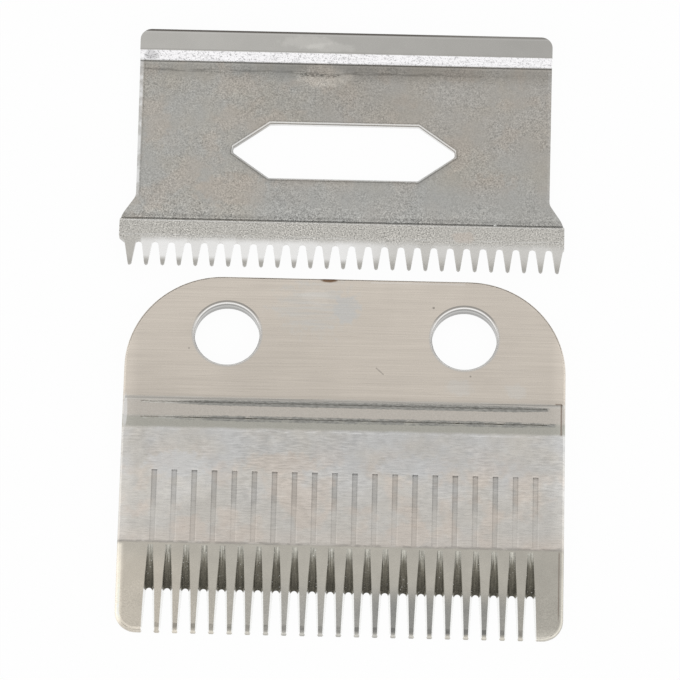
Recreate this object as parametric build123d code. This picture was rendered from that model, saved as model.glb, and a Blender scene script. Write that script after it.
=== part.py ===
from build123d import *
import math
import os

# The two pieces of a clipper blade set, lying flat one behind the other: the fixed blade with its
# skin side up, and behind it the cutter blade with its sliding side up.
# Millimetres, Z up, all teeth point to -Y. The origin is on the table, under the middle of the set.
# Each blade is built in a frame of its own: tooth tips on y = 0, centre line on x = 0, underside on z = 0.

# Fixed blade: plate
blade_width = 46.0
plate_thickness = 1.6
rear_corner_radius = 10.2
front_corner_radius = 2.2
edge_round = 0.3

# Fixed blade: screw holes
hole_diameter = 6.8
hole_spacing = 24.8
hole_setback = 6.45
hole_rim = 0.2

# Fixed blade: shallow groove across the skin side, with two score lines in its floor
groove_setback = 13.6
groove_lip = 0.25
groove_lip_drop = 0.035
groove_floor = 1.95
groove_front_wall = 1.3
groove_depth = 0.1
score_spacing = 1.7
score_width = 0.2
score_margin = 1.9

# Fixed blade: ground face, front bevel and tooth tips on the skin side
ground_length = 12.35
ground_drop = 0.05
ground_fall = 0.4
bevel_length = 9.45
tip_thickness = 0.45
tip_facet = 0.75
tip_nose = 0.2
tip_nose_height = 0.43
tip_edge = 0.05

# Fixed blade: hollow on the cutter side, between the toothed land and the rear land
hollow_front = 9.0
hollow_length = 13.0
hollow_depth = 0.2

# Fixed blade: hair grooves in the ground face, which run out just behind the front bevel
channel_count = 20
channel_margin = 3.28
channel_width = 0.55
channel_depth = 0.1
channel_length = 7.35
channel_runout = 0.5
channel_row_shift = 0.28

# Fixed blade: teeth, and the ramps that lead down into the gaps between them
gap_count = 22
gap_margin = 3.43
tooth_length = 4.83
tooth_root_width = 1.22
tooth_tip_width = 0.66
tip_flat = 0.4
flank_land = 0.05
flank_draft = 17.5
ramp_reach = 9.2
ramp_rise = 0.02
ramp_top_width = 0.56
ramp_foot_width = 0.9
ramp_tail_width = 0.5
ramp_radius = 20.0

# Cutter blade: formed sheet, raised at the heel and at the toothed land
sheet_thickness = 0.8
land_height = 0.9
heel_depth = 2.4
heel_ramp = 0.93
centre_depth = 18.15
land_step = 0.5
land_depth = 5.07
bend_radius = 0.3

# Cutter blade: outline
cutter_rear_width = 44.0
cutter_waist_width = 43.7
cutter_corner_radius = 1.2
waist_radius = 1.3
ear_width = 46.84
ear_margin = 0.6
ear_flare = 2.4
ear_radius = 3.0
end_root_width = 1.24
shoulder_slope = 0.83
shoulder_radius = 0.4

# Cutter blade: six-sided drive slot
slot_length = 23.5
slot_flat = 15.8
slot_height = 6.35
slot_end = 0.7
slot_corner_radius = 0.3
slot_setback = 4.93
slot_rim = 0.15

# Cutter blade: teeth
cutter_tooth_count = 27
cutter_tooth_margin = 0.98
cutter_tooth_length = 2.8
cutter_root_width = 1.05
cutter_tip_width = 0.34
cutter_tip_flat = 0.1
cutter_tip_thickness = 0.35
cutter_row_shift = 0.24

# How the two blades lie on the table
blade_gap = 1.15
cutter_shift = -0.7

# Stations along the fixed blade, and heights of its skin side
ground_rear = bevel_length + ground_length
groove_front_corner = ground_rear + groove_front_wall
groove_rear_corner = groove_front_corner + groove_floor
groove_rear = groove_rear_corner + groove_lip
blade_length = groove_rear + groove_setback
ground_thickness = plate_thickness - ground_drop
bevel_thickness = ground_thickness - ground_fall

# Stations along the cutter blade, and height of its sliding side
step_foot = land_depth + land_step
heel_ramp_foot = step_foot + centre_depth
heel_ramp_top = heel_ramp_foot + heel_ramp
cutter_length = heel_ramp_top + heel_depth
cutter_height = sheet_thickness + land_height

# Cutting tools reach past what they cut by this much
overcut = 1.0


def side_extrusion(points, width):
    """Solid of a side view, given as (y, z) points, centred on x = 0."""
    face = Plane.YZ * make_face(Polyline(*points, close=True))
    return extrude(face, amount=width / 2, both=True)


def row_places(count, margin, width, shift=0.0):
    """X places of a row that keeps a margin to both sides of a width."""
    pitch = (width - 2 * margin) / (count - 1)
    return [index * pitch - width / 2 + margin + shift for index in range(count)]


def nearest_corner(face, x, y):
    return face.vertices().sort_by_distance((x, y, 0))[0]


def gap_tools(pitch, root_width, tip_width, length, flat, height):
    """Cutters of one tooth gap: a slot with a round root, and one that takes the corners off the tooth ends."""
    half_root = (pitch - root_width) / 2
    half_tip = (pitch - tip_width) / 2
    half_mouth = (pitch - flat) / 2
    root_y = length - half_root
    lean = math.atan2(half_tip, root_y) - math.asin(half_root / math.hypot(half_tip, root_y))
    flank_x = half_root * math.cos(lean)
    flank_y = root_y + half_root * math.sin(lean)
    mouth = flank_x + (flank_y + overcut) * math.tan(lean)
    flanks = [(-flank_x, flank_y), (-mouth, -overcut), (mouth, -overcut), (flank_x, flank_y)]
    root = ThreePointArc(flanks[-1], (0, length), flanks[0])
    corner = half_mouth - half_tip
    half = [(half_mouth, -overcut), (half_mouth, 0), (half_tip, corner)]
    ends = Polyline(*half, *[(-x, y) for x, y in reversed(half)], close=True)
    return [extrude(make_face(line), amount=height) for line in (Polyline(*flanks) + root, ends)]


def flare_tool(pitch, root_width, tip_width, length, land, draft, height):
    """Cutter that draws the flanks of a tooth gap back above a narrow land at the cutting edge."""
    slope = math.tan(math.radians(draft))
    spread = (height - land) * slope
    half_root = (pitch - root_width) / 2
    half_tip = (pitch - tip_width) / 2
    root_y = length - half_root
    lean = (half_tip - half_root) / root_y
    half = [(half_tip - lean * y + spread, y) for y in (-overcut, root_y + height * slope)]
    outline = make_face(Polyline(*half, *[(-x, y) for x, y in reversed(half)], close=True))
    return Pos(0, 0, height) * Rot(0, 180, 0) * extrude(outline, amount=height, taper=draft)


def ramp_tool(top_width, foot_width, tail_width, start, end, foot_y, radius, height):
    """Cutter of one ramp, whose floor is an arc from start down to end, both (y, z).

    Its upright walls spread to the foot and close in again to the tail, at the end of the floor.
    """
    floor = RadiusArc(end, start, radius)
    roof = Polyline(start, (start[0], height), (end[0], height), end)
    wedge = extrude(Plane.YZ * make_face(floor + roof), amount=foot_width, both=True)
    half = [(top_width / 2, start[0]), (foot_width / 2, foot_y), (tail_width / 2, end[0])]
    plan = make_face(Polyline(*half, *[(-x, y) for x, y in reversed(half)], close=True))
    return wedge & extrude(plan, amount=height)


def fixed_blade_plate():
    """Plate with its ground face and bevel, rounded along the upper edge of its outline."""
    side = [
        (0, 0),
        (0, tip_thickness),
        (bevel_length, bevel_thickness),
        (ground_rear, ground_thickness),
        (groove_rear, plate_thickness),
        (blade_length, plate_thickness),
        (blade_length, 0),
    ]
    outline = Pos(0, blade_length / 2) * Rectangle(blade_width, blade_length)
    outline = fillet(outline.vertices().sort_by(Axis.Y)[-2:], rear_corner_radius)
    outline = fillet(outline.vertices().sort_by(Axis.Y)[:2], front_corner_radius)
    plate = side_extrusion(side, blade_width) & extrude(outline, amount=plate_thickness)
    rim = ShapeList([plate.edges().filter_by(Axis.X).group_by(Axis.Z)[-1].sort_by(Axis.Y)[-1]])
    for face in plate.faces():
        if face.normal_at().Z > 0.5:
            rim += face.edges().filter_by(Axis.X, reverse=True)
    return fillet(rim, edge_round)


def fixed_blade_hollow():
    """Shallow cylindrical hollow, ground across the cutter side."""
    middle = hollow_front + hollow_length / 2
    rear = hollow_front + hollow_length
    arch = ThreePointArc((hollow_front, 0), (middle, hollow_depth), (rear, 0))
    face = Plane.YZ * make_face(arch + Line((rear, 0), (hollow_front, 0)))
    return extrude(face, amount=blade_width, both=True)


def fixed_blade_groove():
    """Groove across the skin side, with two score lines that stop short of the sides."""
    front_z = plate_thickness - groove_depth
    rear_z = plate_thickness - groove_lip_drop
    side = [
        (ground_rear, ground_thickness),
        (groove_front_corner, front_z),
        (groove_rear_corner, rear_z),
        (groove_rear, plate_thickness),
        (groove_rear, plate_thickness + overcut),
        (ground_rear, plate_thickness + overcut),
    ]
    tools = [side_extrusion(side, blade_width + overcut)]
    score_side = score_width / math.sqrt(2)
    score = Rot(45, 0, 0) * Box(blade_width - 2 * score_margin, score_side, score_side)
    rear_score_z = front_z + (rear_z - front_z) * score_spacing / groove_floor
    tools.append(Pos(0, groove_front_corner, front_z) * score)
    tools.append(Pos(0, groove_front_corner + score_spacing, rear_score_z) * score)
    return tools


def fixed_blade_tips():
    """Facet and blunt nose across the ends of the teeth between the two end blocks."""
    facet_y = tip_nose + tip_facet
    facet_z = tip_thickness + (bevel_thickness - tip_thickness) * facet_y / bevel_length
    side = [
        (-overcut, tip_edge),
        (0, tip_edge),
        (tip_nose, tip_nose_height),
        (facet_y, facet_z),
        (facet_y, facet_z + overcut),
        (-overcut, facet_z + overcut),
    ]
    return side_extrusion(side, blade_width - 2 * gap_margin)


def fixed_blade_holes():
    """Through holes with a slope round their upper rims."""
    tools = []
    for x in (-hole_spacing / 2, hole_spacing / 2):
        place = Pos(x, blade_length - hole_setback, plate_thickness)
        tools.append(place * Cylinder(hole_diameter / 2, 2 * (plate_thickness + overcut)))
        tools.append(place * Cone(hole_diameter / 2, hole_diameter / 2 + 2 * hole_rim, 2 * hole_rim))
    return tools


def fixed_blade_channels():
    """Narrow grooves, deepest at their squared rear ends, which run out towards the bevel."""
    front = bevel_length + channel_runout
    rear = front + channel_length
    fall = ground_fall / ground_length
    front_z = bevel_thickness + fall * channel_runout
    rear_z = front_z + fall * channel_length
    side = [
        (front, front_z),
        (rear, rear_z - channel_depth),
        (rear, rear_z + overcut),
        (front, front_z + overcut),
    ]
    tool = side_extrusion(side, channel_width)
    places = row_places(channel_count, channel_margin, blade_width, channel_row_shift)
    return [Pos(x, 0) * tool for x in places]


def fixed_blade_gaps():
    places = row_places(gap_count, gap_margin, blade_width)
    pitch = places[1] - places[0]
    shape = (pitch, tooth_root_width, tooth_tip_width, tooth_length)
    tools = gap_tools(*shape, tip_flat, plate_thickness)
    tools.append(flare_tool(*shape, flank_land, flank_draft, plate_thickness))
    ramp_start_z = tip_thickness + (bevel_thickness - tip_thickness) * ramp_reach / bevel_length
    ramp = ramp_tool(
        top_width=ramp_top_width,
        foot_width=ramp_foot_width,
        tail_width=ramp_tail_width,
        start=(ramp_reach, ramp_start_z + ramp_rise),
        end=(tooth_length - (pitch - tooth_root_width) / 2, 0),
        foot_y=tooth_length,
        radius=ramp_radius,
        height=plate_thickness,
    )
    return [Pos(x, 0) * tool for x in places for tool in tools + [ramp]]


def fixed_blade():
    body = fixed_blade_plate() - fixed_blade_tips() - fixed_blade_hollow()
    body -= fixed_blade_groove()
    body -= fixed_blade_holes()
    body -= fixed_blade_channels()
    body -= fixed_blade_gaps()
    return body


def cutter_sheet():
    """Bent sheet seen from the side: heel, ramp, middle, step and toothed land, thinner towards the tips."""
    step_turn = math.atan2(land_height, land_step)
    ramp_turn = math.atan2(land_height, heel_ramp)
    step_shift = sheet_thickness * math.tan(step_turn / 2)
    ramp_shift = sheet_thickness * math.tan(ramp_turn / 2)
    side = [
        (0, cutter_height),
        (land_depth, cutter_height),
        (step_foot, sheet_thickness),
        (heel_ramp_foot, sheet_thickness),
        (heel_ramp_top, cutter_height),
        (cutter_length, cutter_height),
        (cutter_length, land_height),
        (heel_ramp_top + ramp_shift, land_height),
        (heel_ramp_foot + ramp_shift, 0),
        (step_foot - step_shift, 0),
        (land_depth - step_shift, land_height),
        (cutter_tooth_length, land_height),
        (0, cutter_height - cutter_tip_thickness),
    ]
    face = make_face(Polyline(*side, close=True))
    for y in (step_foot, heel_ramp_foot):
        face = fillet(nearest_corner(face, y, sheet_thickness), bend_radius)
    return extrude(Plane.YZ * face, amount=ear_width, both=True)


def cutter_outline(first_tooth, last_tooth):
    """Plan outline: tapered body, ears, and the outer flanks of the two end teeth."""
    root_y = cutter_tooth_length - cutter_tip_width / 2
    ear_y = land_depth + ear_margin
    points = []
    rounds = []
    for side, tooth in ((1, last_tooth), (-1, -first_tooth)):
        root_x = tooth + end_root_width / 2
        shoulder = ear_width / 2 - root_x
        round_off = min(shoulder_radius, shoulder / 2)
        half = [
            (tooth + cutter_tip_width / 2, 0, (cutter_tip_width - cutter_tip_flat) / 2),
            (root_x, root_y, round_off),
            (ear_width / 2, root_y + shoulder_slope * shoulder, round_off),
            (ear_width / 2, ear_y, ear_radius),
            (cutter_waist_width / 2, ear_y + ear_flare, waist_radius),
            (cutter_rear_width / 2, cutter_length, cutter_corner_radius),
        ]
        half = [(side * x, y, radius) for x, y, radius in half]
        points += half if side > 0 else half[::-1]
    face = make_face(Polyline(*[(x, y) for x, y, radius in points], close=True))
    for x, y, radius in points:
        face = fillet(nearest_corner(face, x, y), radius)
    return face


def cutter_slot():
    """Six-sided slot with blunt ends and rounded corners."""
    half = [
        (slot_flat / 2, -slot_height / 2),
        (slot_length / 2, -slot_end / 2),
        (slot_length / 2, slot_end / 2),
        (slot_flat / 2, slot_height / 2),
    ]
    points = half + [(-x, y) for x, y in reversed(half)]
    face = make_face(Polyline(*points, close=True))
    face = fillet(face.vertices(), slot_corner_radius)
    return extrude(Pos(0, step_foot + slot_setback + slot_height / 2) * face, amount=sheet_thickness)


def break_slot_rim(body):
    """Sloping edge round the upper rim of the slot."""
    slot_rear = step_foot + slot_setback + slot_height
    rim = body.edges().filter_by_position(Axis.Z, sheet_thickness - slot_rim, sheet_thickness + slot_rim)
    rim = rim.filter_by_position(Axis.Y, step_foot + slot_rim, slot_rear + slot_rim)
    rim = rim.filter_by_position(Axis.X, -slot_length / 2 - slot_rim, slot_length / 2 + slot_rim)
    return chamfer(rim, slot_rim)


def cutter_gaps(places):
    pitch = places[1] - places[0]
    tools = gap_tools(
        pitch,
        cutter_root_width,
        cutter_tip_width,
        cutter_tooth_length,
        cutter_tip_flat,
        cutter_height,
    )
    return [Pos(x + pitch / 2, 0) * tool for x in places[:-1] for tool in tools]


def cutter_blade():
    places = row_places(cutter_tooth_count, cutter_tooth_margin, ear_width, cutter_row_shift)
    body = cutter_sheet() & extrude(cutter_outline(places[0], places[-1]), amount=cutter_height)
    body = break_slot_rim(body - cutter_slot())
    body -= cutter_gaps(places)
    return body


def lay_out():
    """Both blades in their places, with the middle of their common box at x = 0, y = 0."""
    left = min(-blade_width / 2, cutter_shift - ear_width / 2)
    right = max(blade_width / 2, cutter_shift + ear_width / 2)
    middle = (left + right) / 2
    front = -(blade_length + blade_gap + cutter_length) / 2
    return {
        "fixed_blade": Pos(-middle, front) * fixed_blade(),
        "cutter_blade": Pos(cutter_shift - middle, front + blade_length + blade_gap) * cutter_blade(),
    }


os.makedirs("parts", exist_ok=True)
for name, blade in lay_out().items():
    export_step(blade, f"parts/{name}.step")
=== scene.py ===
import math

import bmesh
import bpy
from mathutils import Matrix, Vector


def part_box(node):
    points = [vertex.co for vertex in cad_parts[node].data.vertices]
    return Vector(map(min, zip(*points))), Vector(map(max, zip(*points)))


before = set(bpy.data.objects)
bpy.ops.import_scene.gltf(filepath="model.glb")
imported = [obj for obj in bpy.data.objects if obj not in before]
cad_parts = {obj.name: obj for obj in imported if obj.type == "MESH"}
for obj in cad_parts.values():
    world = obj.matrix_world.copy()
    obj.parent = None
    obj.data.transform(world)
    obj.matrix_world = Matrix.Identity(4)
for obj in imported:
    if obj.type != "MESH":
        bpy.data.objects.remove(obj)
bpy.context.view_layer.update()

MM = 0.001

# Camera: it looks down on the table at the height and turn of the photograph
CAMERA_TARGET = Vector((-0.045, -0.935, 0.0)) * MM
CAMERA_DISTANCE = 540 * MM
CAMERA_HEIGHT_ANGLE = 68.89
CAMERA_TURN = 1.375
LENS = 273.0
SENSOR = 36.0
CLIP_NEAR = 0.01
CLIP_FAR = 10.0

# Studio: a white tent, brighter low down, darker low down at the back, with a dark port round the camera
FLOOR_SIZE = 3.0
FLOOR_COLOUR = (0.9, 0.9, 0.9)
FLOOR_GLOW = 0.96
TENT_TOP = 0.95
TENT_SIDES = 1.2
TENT_SIDES_HEIGHT = 0.45
TENT_TOP_HEIGHT = 0.86
BACK_SHADE = 0.12
BACK_START = 0.3
BACK_FULL = 0.7
BACK_HEIGHT = 0.42
BACK_SOFTNESS = 0.15
PORT_SHADE = 0.03
PORT_INNER_ANGLE = 8.0
PORT_OUTER_ANGLE = 32.0

# Fixed blade: distances from the tooth tips and the left edge, in millimetres
BEVEL_LINE = 9.45
GROUND_REAR = 21.8
GROOVE_FRONT = 23.1
GROOVE_REAR = 25.05
PLATE_FRONT = 25.3
SCORE_SPACING = 1.7
SCORE_WIDTH = 0.62
CHANNEL_FRONT = 9.95
CHANNEL_REAR = 17.3
CHANNEL_WIDTH = 0.55
CHANNEL_COUNT = 20
CHANNEL_FIRST = 3.56
CHANNEL_LAST = 43.0
RAMP_FRONT = 4.55
RAMP_REAR = 9.1
RAMP_TOP_WIDTH = 0.6
RAMP_FOOT_WIDTH = 1.02
GAP_COUNT = 22
GAP_MARGIN = 3.43
BLOCK_WIDTH = 2.75
CORNER_RADIUS = 2.2
FLANK_REAR = 5.0
TOOTH_LIGHT_END = 0.41
TOOTH_DARK_START = 0.48
TOOTH_DARK_END = 0.95
HOLE_SPACING = 24.8
HOLE_STATION = 32.45
HOLE_RADIUS = 3.4
HOLE_RIM = 0.2
HOLE_WALL_TOP = 1.4
HOLE_BAND_LOW = 1.02
HOLE_BAND_HIGH = 1.38
HOLE_FOOT_HEIGHT = 0.63

# Cutter blade: distances from the tooth tips and the left edge, in millimetres
ROOT_LINE = 2.8
LAND_REAR = 5.07
STEP_FOOT = 5.57
HEEL_FOOT = 23.72
HEEL_TOP = 24.65
SHEET_TOP = 0.8
TOOTH_COUNT = 27
TOOTH_FIRST = 1.22
TOOTH_LAST = 46.1
BODY_HALF_WIDTH = 21.9
EAR_REAR = 8.2
SLOT_STATION = 13.675
SLOT_HALF_LENGTH = 11.75
SLOT_HALF_FLAT = 7.9
SLOT_HALF_HEIGHT = 3.175
SLOT_HALF_END = 0.35
SLOT_RIM = 0.15
SLOT_PALE_HEIGHT = 0.4

# Patches and spots of the fixed blade: centre on the table, half size, and how ragged their edges are
PLATE_BLUE_PATCH = ((-2.7, 2.0), (4.4, 3.4), 1.6)
PLATE_GREY_SPOT = ((0.5, 2.0), (1.5, 1.8), 1.4)
PLATE_LIGHT_SPOT = ((-2.7, 3.2), (1.6, 1.2), 1.4)
PLATE_FRONT_SPOTS = (((12.5, -6.6), (1.6, 1.0), 1.2), ((18.4, -6.9), (1.3, 0.9), 1.2))
GROUND_COOL_PATCHES = (((-16.5, -15.6), (3.6, 1.6), 1.2), ((7.8, -15.4), (4.6, 1.3), 1.2))
GROUND_ROSY_PATCHES = (
    ((-5.7, -15.3), (4.6, 1.3), 1.2),
    ((-15.1, -22.7), (2.4, 1.9), 1.2),
    ((7.5, -22.8), (2.6, 1.8), 1.2),
)
GROUND_LIGHT_PATCH = ((-16.5, -16.8), (4.4, 3.6), 1.2)
RUST_SPOT = ((-1.35, 5.15), (1.0, 0.3), 0.5)
LEFT_DOT = ((-15.76, -2.82), (0.12, 0.12), 0.4)
REAR_DOT = ((9.68, 2.27), (0.15, 0.13), 0.4)
FRONT_DOT = ((13.65, -5.3), (0.11, 0.11), 0.4)
LEFT_END_SHEEN_INSET = 0.28
LEFT_END_SHEEN_STATION = -9.9
LEFT_END_SHEEN_HALF = (0.26, 2.0)

# Lines of the fixed blade: start and end on the table, width, and how ragged they are
SCRATCH = ((3.75, -4.54), (4.64, -5.35), 0.1, 0.8)
REAR_GLINT = ((3.0, 4.95), (13.0, 4.95), 0.12, 0.6)
SCORE_FRONT_LEFT = -20.4
SCORE_FRONT_RIGHT = 22.7
SCORE_REAR_LEFT = -20.6
SCORE_REAR_RIGHT = 22.0
GROOVE_END_INSET = 0.42
GROOVE_END_FRONT = -11.7
GROOVE_END_REAR = -8.1
GROOVE_END_CORNER = -8.2
GROOVE_END_LINE = (0.14, 0.4)

# Patches, spots and lines of the cutter blade, given in the same ways
SHEET_WARM_LEFT = ((-11.6, 15.5), (4.8, 2.0), 1.4)
SHEET_WARM_RIGHT = ((15.1, 16.1), (3.0, 2.0), 1.4)
SHEET_BLUE_PATCHES = (((-18.0, 20.8), (1.8, 1.8), 1.2), ((12.8, 27.1), (5.0, 1.8), 1.4))
SHEET_PITTED_PATCH = ((-17.0, 13.7), (3.6, 1.7), 1.0)
HEEL_PALE_PATCH = ((-4.3, 32.4), (3.0, 0.8), 1.4)
HEEL_PALE_FOOT = ((-1.7, 31.85), (3.2, 0.6), 1.0)
SLOPE_DARK_END = ((-20.9, 30.75), (0.9, 0.5), 0.6)
RUBBED_PATCH = ((-2.6, 28.9), (3.4, 1.4), 0.8)
RUBBED_SMUDGE = ((-5.3, 29.0), (-0.6, 28.9), 0.34, 1.6)
LAND_PINK_SPOT = ((12.7, 10.3), (1.3, 0.7), 1.2)
DUST_SPECK = ((15.98, 12.0), (0.2, 0.22), 0.2)

# Streaks: their lengths along and across the blade, in millimetres
GRINDING_LINES = (9.0, 0.16)
LONG_LINES = (25.0, 0.5)
CRINKLE = (1.0, 0.2)
RAMP_STREAKS = (0.1, 1.8)
BEND_STREAKS = (3.0, 0.25)
SLOPE_STREAKS = (1.2, 0.14)
UNDER_LINES = (12.0, 0.18)

# Shared effects: spans of noise that are used, how soft their edges are, and how fine they are
GRAIN_RANGE = (0.25, 0.75)
MOTTLE_RANGE = (0.32, 0.68)
FLECK_SOFTNESS = 0.07
MARK_EDGE = (0.6, 1.1)
MARK_RAGGED_SCALE = 1.3
STROKE_SOFTNESS = 0.05
STROKE_RAGGED_SCALE = 3.0
SPECK_SCALE = 7.0
UNDER_PATCH_SIZE = 5.0

# Finish: fine relief left in the steel by grinding and rolling, roughness, and faces that count as underside
RELIEF_DEPTH = 0.008 * MM
FIXED_ROUGHNESS = 0.26
FIXED_ROUGHNESS_SPREAD = 0.02
CUTTER_ROUGHNESS = 0.27
CUTTER_ROUGHNESS_SPREAD = 0.03
UNDER_NORMALS = (-0.6, -0.4)

# Steel colours where the light is plain, and colours of painted highlight and painted shade
PLATE_STEEL = (0.6, 0.545, 0.48)
PLATE_BLUE = (0.59, 0.57, 0.535)
PLATE_GREY = (0.545, 0.54, 0.525)
LIP_STEEL = (0.55, 0.525, 0.485)
GROOVE_STEEL = (0.51, 0.475, 0.43)
# Darker steel of the groove's front slope: painted shade
SHADED_SLOPE_STEEL = (0.4, 0.39, 0.35)
GROUND_STEEL = (0.565, 0.54, 0.5)
GROUND_BLUE = (0.56, 0.565, 0.57)
GROUND_PINK = (0.62, 0.545, 0.48)
BEVEL_STEEL = (0.505, 0.48, 0.425)
BEVEL_WARM = (0.615, 0.565, 0.485)
BEVEL_GREY = (0.435, 0.425, 0.395)
TOOTH_GREY = (0.3, 0.3, 0.285)
HOLE_GREY = (0.5, 0.495, 0.48)
UNDER_STEEL = (0.5, 0.49, 0.46)
FLANK_STEEL = (0.92, 0.92, 0.905)
# Ramp colours: dark with residue and painted shade, lighter at the top
RAMP_RESIDUE_AND_SHADE = (0.27, 0.25, 0.2)
RAMP_TOP_STEEL = (0.53, 0.515, 0.455)
SCORE_GREY = (0.26, 0.257, 0.238)
SHEET_STEEL = (0.41, 0.39, 0.35)
SHEET_BLUE = (0.4, 0.4, 0.385)
SHEET_WARM = (0.445, 0.4, 0.35)
HEEL_STEEL = (0.45, 0.44, 0.416)
LAND_STEEL = (0.51, 0.495, 0.46)
LAND_PINK = (0.56, 0.49, 0.43)
# Near-white of the cutter heel's slope: painted highlight
SLOPE_HIGHLIGHT_WHITE = (0.84, 0.83, 0.84)
# Colour of painted highlights on edges, rims, chamfers and glints
HIGHLIGHT_STEEL = (0.86, 0.86, 0.86)
# White of the bright teeth, also of the painted light at the slot wall's foot
TOOTH_WHITE = (0.9, 0.895, 0.885)
DARK_LINE = (0.11, 0.1, 0.09)
BROWN_LINE = (0.2, 0.15, 0.12)
RUST_BROWN = (0.16, 0.085, 0.04)
# White of dust specks, also of painted glints on the ramps
DUST_AND_GLINT_WHITE = (0.85, 0.85, 0.83)
WHITE = (1.0, 1.0, 1.0)

FLOAT = "NodeSocketFloat"
VECTOR = "NodeSocketVector"
COLOUR = "NodeSocketColor"


def camera_direction():
    """Unit vector from the table towards the camera."""
    height = math.radians(CAMERA_HEIGHT_ANGLE)
    turn = math.radians(CAMERA_TURN)
    return Vector((math.sin(turn) * math.cos(height), -math.cos(turn) * math.cos(height), math.sin(height)))


class Graph:
    """Adds nodes to a node tree. A socket given as a value is linked, anything else is set."""

    def __init__(self, tree):
        self.tree = tree

    def node(self, kind, inputs=None, **settings):
        made = self.tree.nodes.new(kind)
        for name, value in settings.items():
            setattr(made, name, value)
        for key, value in (inputs or {}).items():
            self.put(made.inputs[key], value)
        return made

    def put(self, socket, value):
        if isinstance(value, bpy.types.NodeSocket):
            self.tree.links.new(value, socket)
        elif socket.type == "RGBA":
            socket.default_value = (*value, 1.0)
        else:
            socket.default_value = value

    def math(self, operation, *values):
        inputs = dict(enumerate(values))
        return self.node("ShaderNodeMath", inputs, operation=operation).outputs[0]

    def product(self, first, *others):
        for value in others:
            first = self.math("MULTIPLY", first, value)
        return first

    def largest(self, first, *others):
        for value in others:
            first = self.math("MAXIMUM", first, value)
        return first

    def apart(self, value, centre):
        """Distance of a value from a centre."""
        return self.math("ABSOLUTE", self.math("SUBTRACT", value, centre))

    def vector(self, operation, *values, output="Vector"):
        inputs = dict(enumerate(values))
        return self.node("ShaderNodeVectorMath", inputs, operation=operation).outputs[output]

    def split(self, vector):
        return self.node("ShaderNodeSeparateXYZ", {0: vector}).outputs

    def joined(self, x, y, z):
        return self.node("ShaderNodeCombineXYZ", {"X": x, "Y": y, "Z": z}).outputs[0]

    def hypotenuse(self, x, y):
        return self.vector("LENGTH", self.joined(x, y, 0.0), output="Value")

    def between(self, value, low, high, to_low=0.0, to_high=1.0):
        """Value mapped smoothly from low..high to to_low..to_high, held outside."""
        inputs = {0: value, 1: low, 2: high, 3: to_low, 4: to_high}
        return self.node("ShaderNodeMapRange", inputs, interpolation_type="SMOOTHSTEP").outputs[0]

    def band(self, value, low, high, soft):
        """Mask that is 1 from low to high, with soft ends."""
        rise = self.between(value, low - soft, low + soft)
        fall = self.between(value, high - soft, high + soft)
        return self.math("SUBTRACT", rise, fall)

    def noise(self, place, detail=2.0, roughness=0.55):
        inputs = {"Vector": place, "Scale": 1.0, "Detail": detail, "Roughness": roughness}
        return self.node("ShaderNodeTexNoise", inputs).outputs["Fac"]

    def mix(self, factor, first, second):
        """Colours mixed by a factor."""
        made = self.node("ShaderNodeMix", data_type="RGBA")
        self.put(made.inputs["Factor"], factor)
        self.put(made.inputs[6], first)
        self.put(made.inputs[7], second)
        return made.outputs[2]

    def scaled(self, colour, factor):
        """Colour or vector times a factor."""
        made = self.node("ShaderNodeVectorMath", {0: colour, "Scale": factor}, operation="SCALE")
        return made.outputs["Vector"]

    def shaded(self, colour, mask, factor):
        """Colour made lighter or darker by a factor where the mask is 1."""
        return self.scaled(colour, self.math("MULTIPLY_ADD", mask, factor - 1.0, 1.0))

    def varied(self, colour, value, amount):
        """Colour made lighter or darker by up to an amount as a value goes from 0 to 1."""
        return self.scaled(colour, self.math("MULTIPLY_ADD", value, 2.0 * amount, 1.0 - amount))

    def group(self, tree, **inputs):
        made = self.node("ShaderNodeGroup", node_tree=tree)
        for name, value in inputs.items():
            self.put(made.inputs[name.capitalize()], value)
        return made.outputs[0]


def new_material(name):
    material = bpy.data.materials.new(name)
    material.use_nodes = True
    material.node_tree.nodes.clear()
    return material, Graph(material.node_tree)


def new_group(name, inputs, output, kind=FLOAT):
    """Node group with one output, a graph to fill it with, and its inner ends."""
    tree = bpy.data.node_groups.new(name, "ShaderNodeTree")
    for socket, socket_kind in inputs.items():
        tree.interface.new_socket(socket, in_out="INPUT", socket_type=socket_kind)
    tree.interface.new_socket(output, in_out="OUTPUT", socket_type=kind)
    graph = Graph(tree)
    return tree, graph, graph.node("NodeGroupInput").outputs, graph.node("NodeGroupOutput").inputs[0]


# Effects that both steels share
def grain_group():
    """Streaks of a given length along X and along Y. Puts out a value about 0.5."""
    tree, graph, ends, out = new_group("grain", {"Place": VECTOR, "Along": FLOAT, "Across": FLOAT}, "Value")
    x, y, _ = graph.split(ends["Place"])
    place = graph.joined(graph.math("DIVIDE", x, ends["Along"]), graph.math("DIVIDE", y, ends["Across"]), 0.0)
    graph.put(out, graph.between(graph.noise(place), *GRAIN_RANGE))
    return tree


def mottle_group():
    """Soft patches of a given size. Puts out a value from 0 to 1."""
    tree, graph, ends, out = new_group("mottle", {"Place": VECTOR, "Size": FLOAT}, "Value")
    scale = graph.math("DIVIDE", 1.0, ends["Size"])
    noise = graph.noise(graph.scaled(ends["Place"], scale), detail=3.0)
    graph.put(out, graph.between(noise, *MOTTLE_RANGE))
    return tree


def fleck_group():
    """Scattered specks of a given size, more of them with a lower edge. Puts out a mask."""
    tree, graph, ends, out = new_group("fleck", {"Place": VECTOR, "Size": FLOAT, "Edge": FLOAT}, "Mask")
    scale = graph.math("DIVIDE", 1.0, ends["Size"])
    noise = graph.noise(graph.scaled(ends["Place"], scale), detail=1.0)
    graph.put(out, graph.between(noise, ends["Edge"], graph.math("ADD", ends["Edge"], FLECK_SOFTNESS)))
    return tree


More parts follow.
